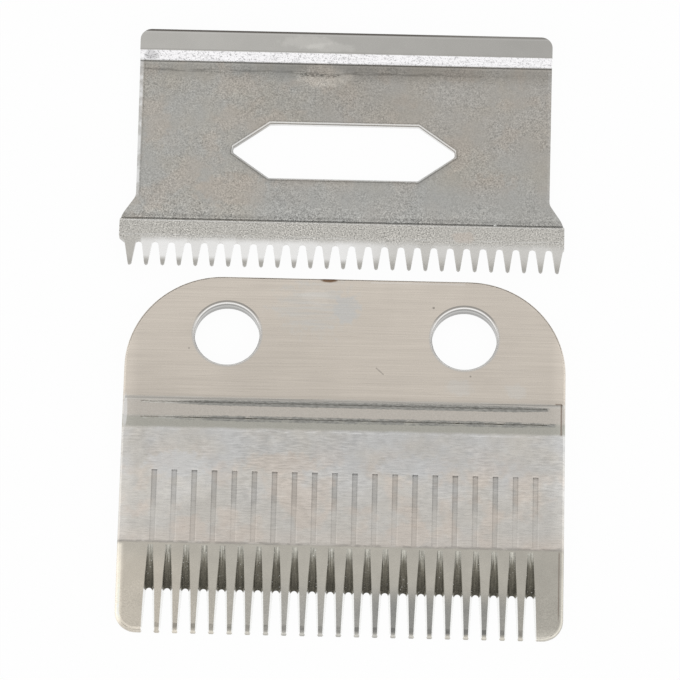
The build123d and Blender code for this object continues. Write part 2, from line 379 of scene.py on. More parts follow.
def mark_group():
    """Patch with ragged edges round a centre. Puts out a mask."""
    inputs = {"Place": VECTOR, "Centre": VECTOR, "Half": VECTOR, "Ragged": FLOAT}
    tree, graph, ends, out = new_group("mark", inputs, "Mask")
    flat = graph.vector("MULTIPLY", ends["Place"], (1.0, 1.0, 0.0))
    away = graph.vector("DIVIDE", graph.vector("SUBTRACT", flat, ends["Centre"]), ends["Half"])
    noise = graph.math("SUBTRACT", graph.noise(graph.scaled(ends["Place"], MARK_RAGGED_SCALE)), 0.5)
    reach = graph.math("MULTIPLY_ADD", noise, ends["Ragged"], graph.vector("LENGTH", away, output="Value"))
    graph.put(out, graph.between(reach, *MARK_EDGE, 1.0, 0.0))
    return tree


def stroke_group():
    """Ragged line from start to end, thinner towards its ends. Puts out a mask."""
    inputs = {"Place": VECTOR, "Start": VECTOR, "End": VECTOR, "Width": FLOAT, "Ragged": FLOAT}
    tree, graph, ends, out = new_group("stroke", inputs, "Mask")
    flat = graph.vector("MULTIPLY", ends["Place"], (1.0, 1.0, 0.0))
    whole = graph.vector("SUBTRACT", ends["End"], ends["Start"])
    length = graph.vector("LENGTH", whole, output="Value")
    unit = graph.vector("NORMALIZE", whole)
    away = graph.vector("SUBTRACT", flat, ends["Start"])
    along = graph.vector("DOT_PRODUCT", away, unit, output="Value")
    across = graph.vector("DISTANCE", away, graph.scaled(unit, along), output="Value")
    noise = graph.noise(graph.scaled(flat, STROKE_RAGGED_SCALE), detail=3.0, roughness=0.7)
    noise = graph.math("SUBTRACT", noise, 0.5)
    half = graph.product(ends["Width"], graph.math("MULTIPLY_ADD", noise, ends["Ragged"], 0.5))
    past_edge = graph.math("SUBTRACT", across, half)
    body = graph.between(past_edge, -STROKE_SOFTNESS, STROKE_SOFTNESS, 1.0, 0.0)
    left = graph.math("SUBTRACT", length, along)
    near_end = graph.between(graph.math("MINIMUM", along, left), 0.0, ends["Width"])
    graph.put(out, graph.product(body, near_end))
    return tree


def speck_group():
    """Fine specks of a given depth. Puts out a factor near 1."""
    tree, graph, ends, out = new_group("speck", {"Place": VECTOR, "Depth": FLOAT}, "Factor")
    fine = graph.noise(graph.scaled(ends["Place"], SPECK_SCALE), roughness=0.7)
    graph.put(out, graph.math("MULTIPLY_ADD", graph.math("SUBTRACT", fine, 0.5), ends["Depth"], 1.0))
    return tree


def underside_group(grain, mottle):
    """Plain ground finish of the undersides. Puts out a colour."""
    tree, graph, ends, out = new_group("underside", {"Place": VECTOR}, "Colour", COLOUR)
    along, across = UNDER_LINES
    lines = graph.group(grain, place=ends["Place"], along=along, across=across)
    patches = graph.group(mottle, place=ends["Place"], size=UNDER_PATCH_SIZE)
    graph.put(out, graph.varied(graph.varied(UNDER_STEEL, lines, 0.06), patches, 0.04))
    return tree


# Studio and camera
def make_world():
    """White tent round the table, with a dark port where the camera looks in."""
    world = bpy.data.worlds.new("studio_tent")
    bpy.context.scene.world = world
    world.use_nodes = True
    world.node_tree.nodes.clear()
    graph = Graph(world.node_tree)
    direction = graph.node("ShaderNodeTexCoord").outputs["Generated"]
    _, y, z = graph.split(direction)
    tent = graph.between(z, TENT_SIDES_HEIGHT, TENT_TOP_HEIGHT, TENT_SIDES, TENT_TOP)
    back = graph.product(
        graph.between(y, BACK_START, BACK_FULL),
        graph.between(z, BACK_HEIGHT, BACK_HEIGHT + BACK_SOFTNESS, 1.0, 0.0),
    )
    facing = graph.vector("DOT_PRODUCT", direction, camera_direction(), output="Value")
    angle = graph.math("ARCCOSINE", graph.math("MINIMUM", facing, 1.0))
    inner = math.radians(PORT_INNER_ANGLE)
    outer = math.radians(PORT_OUTER_ANGLE)
    clear = graph.between(angle, inner, outer, PORT_SHADE, 1.0)
    open_back = graph.math("MULTIPLY_ADD", back, BACK_SHADE - 1.0, 1.0)
    strength = graph.product(tent, clear, open_back)
    seen = graph.node("ShaderNodeLightPath").outputs["Is Camera Ray"]
    light = graph.node("ShaderNodeBackground", {"Color": WHITE, "Strength": strength})
    white = graph.node("ShaderNodeBackground", {"Color": WHITE, "Strength": 1.0})
    joined = graph.node("ShaderNodeMixShader", {0: seen, 1: light.outputs[0], 2: white.outputs[0]})
    graph.node("ShaderNodeOutputWorld", {"Surface": joined.outputs[0]})


def make_floor():
    """Pale table top, white to the camera and in reflections, with a faint shadow of the blades."""
    mesh = bpy.data.meshes.new("table_top")
    shape = bmesh.new()
    bmesh.ops.create_grid(shape, x_segments=1, y_segments=1, size=FLOOR_SIZE / 2)
    shape.to_mesh(mesh)
    shape.free()
    floor = bpy.data.objects.new("table_top", mesh)
    bpy.context.scene.collection.objects.link(floor)
    material, graph = new_material("table_white")
    matt = graph.node("ShaderNodeBsdfDiffuse", {"Color": FLOOR_COLOUR})
    white = graph.node("ShaderNodeEmission", {"Color": WHITE, "Strength": 1.0})
    path = graph.node("ShaderNodeLightPath")
    rays = ("Is Camera Ray", "Is Glossy Ray", "Is Transmission Ray")
    seen = graph.largest(*(path.outputs[ray] for ray in rays))
    share = graph.math("MULTIPLY", seen, FLOOR_GLOW)
    joined = graph.node("ShaderNodeMixShader", {0: share, 1: matt.outputs[0], 2: white.outputs[0]})
    graph.node("ShaderNodeOutputMaterial", {"Surface": joined.outputs[0]})
    mesh.materials.append(material)


def make_camera():
    data = bpy.data.cameras.new("camera")
    data.lens = LENS
    data.sensor_width = SENSOR
    data.clip_start = CLIP_NEAR
    data.clip_end = CLIP_FAR
    camera = bpy.data.objects.new("camera", data)
    bpy.context.scene.collection.objects.link(camera)
    back = camera_direction()
    camera.location = CAMERA_TARGET + back * CAMERA_DISTANCE
    camera.rotation_mode = "QUATERNION"
    camera.rotation_quaternion = (-back).to_track_quat("-Z", "Y")
    bpy.context.scene.camera = camera


class Steel(Graph):
    """Node graph of one blade's steel, with the shared effects. Places are in millimetres:
    x from the blade's left edge, y from its tooth tips, z from the table."""

    def __init__(self, name, blade, effects):
        self.material, graph = new_material(name)
        super().__init__(graph.tree)
        self.effects = effects
        self.low, self.high = (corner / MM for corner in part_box(blade))
        self.width = self.high.x - self.low.x
        self.length = self.high.y - self.low.y
        self.place = self.scaled(self.node("ShaderNodeTexCoord").outputs["Object"], 1 / MM)
        table_x, table_y, self.z = self.split(self.place)
        self.x = self.math("SUBTRACT", table_x, self.low.x)
        self.y = self.math("SUBTRACT", table_y, self.low.y)
        normal = self.node("ShaderNodeNewGeometry").outputs["Normal"]
        self.normal_x, _, self.normal_z = self.split(normal)

    def grain(self, along, across):
        return self.group(self.effects["grain"], place=self.place, along=along, across=across)

    def mottle(self, size, shift=0.0):
        place = self.vector("ADD", self.place, (shift, shift, 0.0))
        return self.group(self.effects["mottle"], place=place, size=size)

    def fleck(self, size, edge):
        return self.group(self.effects["fleck"], place=self.place, size=size, edge=edge)

    def mark(self, centre, half, ragged):
        return self.group(self.effects["mark"], place=self.place, centre=(*centre, 0.0), half=(*half, 1.0),
                          ragged=ragged)

    def stroke(self, start, end, width, ragged):
        return self.group(self.effects["stroke"], place=self.place, start=(*start, 0.0), end=(*end, 0.0),
                          width=width, ragged=ragged)

    def speck(self, depth):
        return self.group(self.effects["speck"], place=self.place, depth=depth)

    def marks(self, patches):
        """One mask of several patches."""
        return self.largest(*(self.mark(*patch) for patch in patches))

    def from_middle(self):
        """Distance along X from the blade's centre line."""
        return self.apart(self.x, self.width / 2)

    def from_side(self):
        """Distance along X from the nearer side of the blade."""
        return self.math("MINIMUM", self.x, self.math("SUBTRACT", self.width, self.x))

    def in_row(self, first, last, count):
        """Distance along X from the nearest place of a row, and the number of that place."""
        pitch = (last - first) / (count - 1)
        number = self.math("ROUND", self.math("DIVIDE", self.math("SUBTRACT", self.x, first), pitch))
        number = self.math("MINIMUM", self.math("MAXIMUM", number, 0.0), count - 1.0)
        return self.math("SUBTRACT", self.x, self.math("MULTIPLY_ADD", number, pitch, first)), number

    def chance(self, number):
        """Value from 0 to 1 that differs from one number to the next."""
        return self.node("ShaderNodeTexWhiteNoise", {"W": number}, noise_dimensions="1D").outputs["Value"]

    def finish(self, colour, roughness, matt, height):
        """Steel shader with a fine relief, less metallic where the matt mask is high, plain underneath."""
        upper = self.between(self.normal_z, *UNDER_NORMALS)
        under = self.group(self.effects["underside"], place=self.place)
        colour = self.mix(upper, under, colour)
        metallic = self.math("SUBTRACT", 1.0, self.product(matt, upper))
        relief = self.node("ShaderNodeBump", {"Strength": 1.0, "Distance": RELIEF_DEPTH, "Height": height})
        inputs = {
            "Base Color": colour,
            "Metallic": metallic,
            "Roughness": roughness,
            "Normal": relief.outputs[0],
        }
        shader = self.node("ShaderNodeBsdfPrincipled", inputs)
        self.node("ShaderNodeOutputMaterial", {"Surface": shader.outputs[0]})
        return self.material


# Steel of the fixed blade
def tooth_row(s):
    """Mask of the fixed blade's row of teeth, between the blocks at its ends."""
    return s.band(s.x, BLOCK_WIDTH, s.width - BLOCK_WIDTH, 0.1)


def bevel_colour(s):
    """Front bevel: warm at the left, grey and speckled along the teeth."""
    warm = s.product(s.between(s.x, 1.0, 12.0, 1.0, 0.0), s.between(s.y, 6.5, 9.0, 1.0, 0.4))
    colour = s.mix(warm, BEVEL_STEEL, BEVEL_WARM)
    middle = s.product(s.band(s.x, 14.0, 32.0, 5.0), s.between(s.y, 2.0, 6.5, 1.0, 0.0))
    colour = s.mix(middle, colour, BEVEL_GREY)
    teeth = s.product(s.band(s.x, 25.0, 41.0, 3.0), s.between(s.y, 3.0, 5.5, 1.0, 0.0))
    behind_end = s.between(s.y, TOOTH_LIGHT_END - 0.05, TOOTH_LIGHT_END + 0.05, 0.1, 0.85)
    colour = s.mix(s.product(teeth, behind_end), colour, TOOTH_GREY)
    colour = s.shaded(colour, s.between(s.x, 38.0, 44.0), 0.9)
    uneven = s.between(s.mottle(1.3), 0.1, 0.8, 0.25, 1.0)
    dark_end = s.product(s.band(s.y, TOOTH_DARK_START, TOOTH_DARK_END, 0.08), tooth_row(s), uneven)
    colour = s.shaded(colour, dark_end, 0.7)
    colour = s.varied(colour, s.mottle(2.6), 0.04)
    return s.scaled(colour, s.speck(s.between(s.y, 3.0, 6.0, 0.7, 0.25)))


def ground_colour(s):
    """Ground face: bluish and crinkled near its rear edge, with pink and pale patches round the grooves."""
    blue = s.product(s.mottle(4.5), s.between(s.y, 12.0, 19.0, 0.25, 0.7))
    colour = s.mix(blue, GROUND_STEEL, GROUND_BLUE)
    pink = s.product(s.between(s.mottle(3.2, 31.0), 0.35, 1.0), s.band(s.y, 9.0, 19.0, 3.0), 0.6)
    colour = s.mix(pink, colour, GROUND_PINK)
    colour = s.varied(colour, s.mottle(0.7), 0.035)
    colour = s.varied(colour, s.mottle(1.9, 5.0), 0.035)
    colour = s.mix(s.product(s.marks(GROUND_COOL_PATCHES), 0.6), colour, GROUND_BLUE)
    rosy = s.largest(s.marks(GROUND_ROSY_PATCHES), s.between(s.y, 10.2, 11.5, 0.5, 0.0))
    colour = s.mix(s.product(rosy, 0.55), colour, GROUND_PINK)
    colour = s.shaded(colour, s.mark(*GROUND_LIGHT_PATCH), 1.08)
    colour = s.shaded(colour, s.band(s.y, 14.2, 17.4, 0.8), 1.045)
    low_left = s.product(s.between(s.x, 3.0, 10.0, 1.0, 0.0), s.between(s.y, 13.0, 17.0, 1.0, 0.0))
    colour = s.shaded(colour, low_left, 1.07)
    rear = s.product(s.band(s.x, 12.0, 38.0, 5.0), s.between(s.y, 17.0, 20.0))
    colour = s.shaded(colour, rear, 0.955)
    crinkle = s.math("SUBTRACT", s.grain(*CRINKLE), 0.5)
    patchy = s.between(s.mottle(3.8, 11.0), 0.2, 0.8, 0.06, 0.24)
    depth = s.product(s.between(s.y, 11.0, 17.0, 0.5, 1.0), patchy)
    return s.scaled(colour, s.math("MULTIPLY_ADD", crinkle, depth, 1.0))


def plate_colour(s):
    """Rear plate: warm steel with fine lines left by grinding and bluish patches, and painted shade along its
    front edge.
    """
    colour = s.varied(PLATE_STEEL, s.mottle(7.0), 0.03)
    colour = s.varied(colour, s.between(s.y, 27.0, 37.0), 0.03)
    blue = s.product(s.mark(*PLATE_BLUE_PATCH), s.between(s.grain(5.0, 0.5), 0.2, 0.8, 0.3, 1.0))
    colour = s.mix(s.product(blue, 0.8), colour, PLATE_BLUE)
    colour = s.mix(s.product(s.mark(*PLATE_GREY_SPOT), 0.7), colour, PLATE_GREY)
    colour = s.shaded(colour, s.mark(*PLATE_LIGHT_SPOT), 1.06)
    colour = s.mix(s.product(s.marks(PLATE_FRONT_SPOTS), 0.5), colour, PLATE_BLUE)
    colour = s.varied(colour, s.grain(*GRINDING_LINES), 0.045)
    colour = s.varied(colour, s.grain(*LONG_LINES), 0.025)
    # Darker just behind the plate's front edge: painted shade
    return s.shaded(colour, s.between(s.y, PLATE_FRONT, PLATE_FRONT + 0.6, 1.0, 0.0), 0.9)


def fixed_zones(s):
    """Colours of the fixed blade's skin side from the teeth to the rear."""
    wobble = s.math("MULTIPLY_ADD", s.mottle(1.2), 0.08, -0.04)
    rough_y = s.math("ADD", s.y, wobble)
    colour = s.mix(s.between(rough_y, BEVEL_LINE - 0.1, BEVEL_LINE + 0.1), bevel_colour(s), ground_colour(s))
    # The groove's front slope is painted darker: painted shade
    colour = s.mix(s.between(rough_y, GROUND_REAR - 0.05, GROUND_REAR + 0.35), colour, SHADED_SLOPE_STEEL)
    colour = s.mix(s.between(s.y, GROOVE_FRONT - 0.2, GROOVE_FRONT + 0.3), colour, GROOVE_STEEL)
    groove = s.band(s.y, GROUND_REAR, PLATE_FRONT, 0.2)
    colour = s.scaled(colour, s.speck(s.product(groove, 0.35)))
    colour = s.mix(s.between(s.y, GROOVE_REAR - 0.2, GROOVE_REAR), colour, LIP_STEEL)
    colour = s.mix(s.between(rough_y, PLATE_FRONT - 0.12, PLATE_FRONT + 0.18), colour, plate_colour(s))

    # Painted highlight in a broken line at the front of the groove, and a broken line of painted shade along
    # the bevel
    bright = s.band(rough_y, GROUND_REAR - 0.18, GROUND_REAR - 0.05, 0.1)
    bright = s.product(bright, s.grain(*CRINKLE), s.mottle(3.0), 0.6)
    colour = s.mix(bright, colour, HIGHLIGHT_STEEL)
    broken = s.band(rough_y, BEVEL_LINE - 0.02, BEVEL_LINE + 0.2, 0.1)
    broken = s.product(broken, s.between(s.mottle(2.0), 0.1, 0.6, 0.3, 1.0))
    return s.shaded(colour, broken, 0.68)


def score_lines(s, colour):
    """Two gritty score lines in the groove, thin where they start. Colour and matt mask."""
    front = s.low.y + GROOVE_FRONT - 0.07
    rear = front + SCORE_SPACING
    slim_left = s.between(s.x, 1.5, 12.0, 0.45, 1.0)
    slim_right = s.between(s.x, 40.0, 45.0, 1.0, 0.6)
    width = s.product(slim_left, slim_right, SCORE_WIDTH)
    rear_line = s.stroke((SCORE_REAR_LEFT, rear), (SCORE_REAR_RIGHT, rear), width, 0.35)
    front_line = s.stroke((SCORE_FRONT_LEFT, front), (SCORE_FRONT_RIGHT, front), width, 0.4)
    broken = s.between(s.grain(1.5, 0.6), s.between(s.x, 3.0, 8.0, 0.5, 0.0), 0.6)
    line = s.largest(rear_line, s.product(front_line, broken))
    grit = s.product(s.between(s.grain(0.5, 0.12), 0.1, 0.9, 0.7, 1.25), s.between(s.x, 3.0, 8.0, 2.2, 1.0))
    line = s.product(line, s.between(s.x, 2.0, 9.0, 0.45, 0.9))
    aside = s.apart(s.y, GROOVE_FRONT + SCORE_SPACING / 2)
    cut = s.band(aside, SCORE_SPACING / 2 - 0.12, SCORE_SPACING / 2 + 0.12, 0.04)
    dull_start = s.product(cut, s.between(s.x, 4.0, 10.0, 0.85, 0.0))
    return s.mix(line, colour, s.scaled(SCORE_GREY, grit)), s.largest(line, dull_start)


def hair_grooves(s, colour):
    """Hair grooves: painted shade inside them, greyest near the rear and fading to the front, painted shade
    along their sides and at their rear caps, and painted highlight on one side and on the rear rims. Colour
    and matt mask.
    """
    offset, number = s.in_row(CHANNEL_FIRST, CHANNEL_LAST, CHANNEL_COUNT)
    luck = s.chance(number)
    edge = CHANNEL_WIDTH / 2
    aside = s.math("ABSOLUTE", offset)
    run = s.band(s.y, CHANNEL_FRONT - 0.3, CHANNEL_REAR, 0.04)
    fade = s.between(s.y, CHANNEL_REAR - 4.5, CHANNEL_REAR - 2.8)
    fade_rise = s.math("MULTIPLY_ADD", luck, -0.3, 0.8)
    fade_floor = s.math("MULTIPLY_ADD", luck, 0.35, 0.1)
    fade = s.math("MULTIPLY_ADD", fade, fade_rise, fade_floor)
    fade = s.product(fade, s.between(s.x, 39.0, 43.0, 1.0, 0.6))
    # Painted shade inside the grooves and along their sides
    inside = s.product(s.between(aside, edge - 0.05, edge + 0.03, 1.0, 0.0), run)
    colour = s.shaded(colour, s.product(inside, fade), 0.74)
    sides = s.product(s.band(aside, edge - 0.09, edge + 0.01, 0.04), run, s.between(fade, 0.0, 0.6, 0.4, 1.0))
    colour = s.shaded(colour, s.product(sides, s.between(offset, -0.1, 0.1, 1.0, 0.7)), 0.78)
    # Painted highlight on one side of each groove and on its rear rim, and painted shade at its rear cap
    light_side = s.product(s.band(offset, edge - 0.04, edge + 0.1, 0.05), run)
    colour = s.shaded(colour, s.product(light_side, s.between(s.y, 10.0, 15.0, 1.0, 0.0)), 1.12)
    near = s.between(aside, edge, edge + 0.08, 1.0, 0.0)
    rim = s.product(s.band(s.y, CHANNEL_REAR + 0.05, CHANNEL_REAR + 0.14, 0.05), near, luck)
    colour = s.shaded(colour, rim, 1.2)
    cap = s.product(s.band(s.y, CHANNEL_REAR - 0.2, CHANNEL_REAR + 0.02, 0.05), near)
    return s.shaded(colour, s.product(cap, luck), 0.8), s.product(cap, 0.8)


def ramps(s, colour):
    """Ramps into the tooth gaps: dark with residue and painted shade, darker with painted shade at the foot
    and along the sides, lighter and streaky at the top, with bright specks of painted glint. Colour and matt
    mask."""
    offset, _ = s.in_row(GAP_MARGIN, s.width - GAP_MARGIN, GAP_COUNT)
    half = s.between(s.y, RAMP_FRONT, RAMP_REAR, RAMP_FOOT_WIDTH / 2, RAMP_TOP_WIDTH / 2)
    past_side = s.math("SUBTRACT", s.math("ABSOLUTE", offset), half)
    inside = s.between(past_side, -0.04, 0.04, 1.0, 0.0)
    ramp = s.product(inside, s.band(s.y, RAMP_FRONT - 0.05, RAMP_REAR + 0.1, 0.05))
    streak = s.grain(*RAMP_STREAKS)
    streaky_y = s.math("MULTIPLY_ADD", s.math("SUBTRACT", streak, 0.5), 1.3, s.y)
    high = s.between(streaky_y, RAMP_REAR - 1.8, RAMP_REAR + 0.1)
    steel = s.mix(high, RAMP_RESIDUE_AND_SHADE, RAMP_TOP_STEEL)
    steel = s.scaled(s.varied(steel, streak, 0.3), s.speck(0.8))
    # Darker at the ramp's foot and along its sides: painted shade
    steel = s.shaded(steel, s.between(s.y, RAMP_FRONT + 0.3, RAMP_FRONT + 1.6, 1.0, 0.0), 0.8)
    steel = s.shaded(steel, s.between(past_side, -0.22, -0.05), 0.75)
    colour = s.mix(ramp, colour, steel)
    # Bright specks: painted glints
    glint = s.product(s.fleck(0.16, 0.7), ramp)
    colour = s.mix(glint, colour, DUST_AND_GLINT_WHITE)
    matt = s.product(ramp, s.math("MULTIPLY_ADD", high, 0.35, 0.4))
    return colour, s.largest(matt, s.product(glint, 0.9))


def tooth_flanks(s, colour):
    """Sides of the teeth, which catch the light."""
    sideways = s.between(s.math("ABSOLUTE", s.normal_x), 0.6, 0.85)
    in_front = s.between(s.y, FLANK_REAR - 0.1, FLANK_REAR + 0.1, 1.0, 0.0)
    return s.mix(s.product(sideways, in_front, tooth_row(s)), colour, FLANK_STEEL)


def block_ends(s, colour):
    """Worn matt fronts of the blocks at both ends of the row, a lighter front on the right block, a painted
    highlight along the bevel's left edge, corner rims lightened by wear and painted highlight, and a brown
    line near the right edge. Colour and matt mask.
    """
    from_end = s.from_side()
    block = s.between(from_end, BLOCK_WIDTH - 0.1, BLOCK_WIDTH, 1.0, 0.0)
    right = s.between(s.x, s.width - BLOCK_WIDTH - 0.1, s.width - BLOCK_WIDTH)
    colour = s.shaded(colour, s.product(right, s.between(s.y, 0.4, 1.5, 1.0, 0.0)), 1.22)
    front = s.product(block, s.between(s.y, 0.42, 0.5, 1.0, 0.0))
    bevel = s.between(s.y, BEVEL_LINE - 0.4, BEVEL_LINE, 1.0, 0.0)
    # Strip along the bevel's left edge: painted highlight
    strip = s.product(s.between(s.x, 0.3, 0.85, 1.0, 0.0), bevel)
    colour = s.shaded(colour, strip, 1.4)
    # Corner rims lightened: wear and painted highlight
    past_side = s.math("MAXIMUM", s.math("SUBTRACT", CORNER_RADIUS, from_end), 0.0)
    past_front = s.math("MAXIMUM", s.math("SUBTRACT", CORNER_RADIUS, s.y), 0.0)
    inset = s.math("SUBTRACT", CORNER_RADIUS, s.hypotenuse(past_side, past_front))
    left_rim = s.band(inset, 0.2, 0.48, 0.06)
    right_rim = s.band(inset, 0.06, 0.3, 0.05)
    rim = s.between(s.x, 5.0, 6.0, left_rim, right_rim)
    rim = s.product(rim, bevel, s.between(s.y, 3.0, 8.0, 1.0, 0.5))
    colour = s.shaded(colour, rim, 1.35)
    line_x = s.math("SUBTRACT", s.width - 0.5, s.x)
    line = s.product(s.band(line_x, -0.05, 0.05, 0.06), bevel, s.between(s.y, 1.5, 3.0))
    colour = s.mix(s.product(line, 0.8), colour, BROWN_LINE)
    return colour, s.product(front, 0.8)


def side_edges(s, colour):
    """Paler steel towards the left and right edges behind the bevel, and a painted highlight on the rounded
    side edges.
    """
    from_end = s.from_side()
    behind = s.between(s.y, BEVEL_LINE, BEVEL_LINE + 1.0)
    colour = s.shaded(colour, s.product(behind, s.between(from_end, 0.2, 1.8, 1.0, 0.0)), 1.13)
    # Rounded side edges lightened by their slope: painted highlight
    rounded = s.between(s.math("ABSOLUTE", s.normal_x), 0.2, 0.5)
    return s.shaded(colour, s.product(rounded, s.between(from_end, 0.4, 0.45, 1.0, 0.0)), 1.12)


def screw_holes(s, colour):
    """Screw holes: grey rim slopes, a line of painted shade on the far rim, painted highlights on the far
    rim's edge and on the near rims, and far walls banded darker. Colour and matt mask."""
    across = s.math("SUBTRACT", s.from_middle(), HOLE_SPACING / 2)
    behind = s.math("SUBTRACT", s.y, HOLE_STATION)
    radius = s.hypotenuse(across, behind)
    far = s.between(behind, 1.2, 2.6)
    rim = s.between(radius, HOLE_RADIUS + 0.3, HOLE_RADIUS + 0.35, 1.0, 0.0)
    amount = s.between(s.z, HOLE_WALL_TOP - 0.1, HOLE_WALL_TOP + 0.1, 1.0, 0.5)
    colour = s.mix(s.product(rim, amount), colour, HOLE_GREY)
    # Dark line on the far rim: painted shade
    rim_line = s.product(s.band(radius, HOLE_RADIUS + 0.13, HOLE_RADIUS + 0.32, 0.03), far)
    colour = s.shaded(colour, rim_line, 0.56)
    # Bright line on the far rim's edge: painted highlight
    bright = s.band(radius, HOLE_RADIUS + 0.03, HOLE_RADIUS + 0.12, 0.02)
    bright = s.product(bright, s.between(behind, 0.5, 1.5), 0.7)
    colour = s.mix(bright, colour, HIGHLIGHT_STEEL)
    wall = s.between(radius, HOLE_RADIUS + 0.02, HOLE_RADIUS + 0.04, 1.0, 0.0)
    dark_band = s.band(s.z, HOLE_BAND_LOW, HOLE_BAND_HIGH, 0.03)
    colour = s.shaded(colour, s.product(wall, dark_band), 0.55)
    foot = s.between(s.z, HOLE_FOOT_HEIGHT - 0.03, HOLE_FOOT_HEIGHT + 0.03, 1.0, 0.0)
    colour = s.shaded(colour, s.product(wall, foot), 0.72)
    # Bright near rims: painted highlight
    near_rim = s.band(radius, HOLE_RADIUS + 0.04, HOLE_RADIUS + HOLE_RIM, 0.03)
    near_rim = s.product(near_rim, s.between(behind, 0.6, 1.8, 1.0, 0.0))
    return s.mix(s.product(near_rim, 0.5), colour, HIGHLIGHT_STEEL), s.product(near_rim, 0.7)


def fixed_marks(s, colour):
    """Rust-brown spot on the rear edge, faint dots, a scratch, lines at the groove's ends, a painted glint
    near the rear edge and a painted highlight at the groove's left end.
    """
    colour = s.mix(s.product(s.mark(*RUST_SPOT), 0.9), colour, RUST_BROWN)
    for dot, strength in ((REAR_DOT, 0.6), (FRONT_DOT, 0.5), (LEFT_DOT, 0.35)):
        colour = s.mix(s.product(s.mark(*dot), strength), colour, DARK_LINE)
    colour = s.mix(s.product(s.stroke(*SCRATCH), 0.5), colour, DARK_LINE)
    # Glint near the rear edge: painted highlight
    colour = s.mix(s.product(s.stroke(*REAR_GLINT), 0.25), colour, HIGHLIGHT_STEEL)
    end = s.high.x - GROOVE_END_INSET
    upright = s.stroke((end, GROOVE_END_FRONT), (end, GROOVE_END_REAR), *GROOVE_END_LINE)
    colour = s.mix(s.product(upright, 0.8), colour, BROWN_LINE)
    crosswise = s.stroke((end - 0.7, GROOVE_END_CORNER), (end + 0.1, GROOVE_END_CORNER), *GROOVE_END_LINE)
    colour = s.mix(s.product(crosswise, 0.7), colour, BROWN_LINE)
    # Bright strip at the groove's left end: painted highlight
    wear_and_sheen = s.mark((s.low.x + LEFT_END_SHEEN_INSET, LEFT_END_SHEEN_STATION), LEFT_END_SHEEN_HALF, 0.2)
    return s.mix(s.product(wear_and_sheen, 0.5), colour, HIGHLIGHT_STEEL)


def fixed_steel(effects):
    s = Steel("fixed_steel", "fixed_blade", effects)
    colour, scored = score_lines(s, fixed_zones(s))
    colour, capped = hair_grooves(s, colour)
    colour = side_edges(s, colour)
    colour, ramped = ramps(s, colour)
    colour, wear_and_sheen = block_ends(s, tooth_flanks(s, colour))
    colour, rimmed = screw_holes(s, colour)
    colour = fixed_marks(s, colour)
    matt = s.largest(scored, capped, ramped, wear_and_sheen, rimmed)
    roughness = s.math("MULTIPLY_ADD", s.grain(3.0, 0.3), FIXED_ROUGHNESS_SPREAD, FIXED_ROUGHNESS)
    plate_relief = s.product(s.grain(*GRINDING_LINES), s.between(s.y, GROOVE_REAR, PLATE_FRONT))
    ground_relief = s.product(s.grain(*CRINKLE), s.band(s.y, BEVEL_LINE, GROUND_REAR, 0.1))
    height = s.math("ADD", plate_relief, ground_relief)
    return s.finish(colour, roughness, matt, height)


# Steel of the cutter blade
def cutter_zones(s):
    """Colours of the cutter from the toothed land to the raised heel."""
    sheet = s.mix(s.product(s.mottle(5.0), 0.8), SHEET_STEEL, SHEET_BLUE)
    warm = s.between(s.mottle(3.6, 29.0), 0.5, 1.0)
    sheet = s.mix(s.product(warm, 0.5), sheet, SHEET_WARM)
    warm_right = s.mark(*SHEET_WARM_RIGHT)
    warm_patch = s.largest(s.mark(*SHEET_WARM_LEFT), warm_right)
    sheet = s.shaded(s.mix(s.product(warm_patch, 0.6), sheet, SHEET_WARM), warm_right, 0.96)
    sheet = s.mix(s.product(s.marks(SHEET_BLUE_PATCHES), 0.6), sheet, SHEET_BLUE)
    low = s.product(s.between(s.y, 7.0, 12.0, 1.0, 0.0), s.between(s.x, 26.0, 36.0, 1.0, 0.1))
    sheet = s.shaded(sheet, low, 1.05)
    low_blue = s.product(s.between(s.y, 8.5, 11.0, 0.7, 0.0), s.between(s.x, 12.0, 17.0))
    sheet = s.shaded(s.mix(low_blue, sheet, SHEET_BLUE), s.between(s.y, 6.5, 8.0, 1.0, 0.0), 1.04)
    pale_left = s.product(s.between(s.x, 9.0, 15.0, 1.0, 0.0), s.band(s.y, 10.0, 19.0, 1.5))
    sheet = s.shaded(sheet, pale_left, 1.035)
    tint = s.product(s.between(s.x, 17.0, 24.0), s.between(s.y, 11.0, 15.0))
    sheet = s.shaded(s.mix(s.product(tint, 0.3), sheet, SHEET_WARM), tint, 0.97)
    dark_rear = s.product(s.between(s.y, 16.0, 19.0), s.band(s.x, 14.0, 30.0, 4.0))
    sheet = s.shaded(sheet, dark_rear, 0.95)
    less_left = s.between(s.x, 8.0, 20.0, 0.4, 1.0)
    less_right = s.between(s.x, 33.0, 42.0, 1.0, 0.65)
    shade = s.product(s.between(s.y, HEEL_FOOT - 2.6, HEEL_FOOT - 0.4), less_left, less_right)
    sheet = s.shaded(sheet, shade, 0.7)
    heel = s.varied(HEEL_STEEL, s.between(s.x, 6.0, 44.0, 1.0, 0.0), 0.085)
    heel = s.shaded(heel, s.mark(*HEEL_PALE_PATCH), 1.13)
    heel = s.shaded(heel, s.mark(*HEEL_PALE_FOOT), 1.12)
    heel = s.varied(heel, s.mottle(2.4), 0.02)
    colour = s.mix(s.between(s.y, LAND_REAR, LAND_REAR + 0.12), LAND_STEEL, sheet)
    # The heel's slope is painted near-white: painted highlight
    raised = s.between(s.z, SHEET_TOP + 0.05, SHEET_TOP + 0.12)
    slope = s.product(raised, s.between(s.y, HEEL_FOOT - 0.3, HEEL_FOOT))
    colour = s.mix(slope, colour, SLOPE_HIGHLIGHT_WHITE)
    return s.mix(s.between(s.y, HEEL_TOP - 0.05, HEEL_TOP), colour, heel)


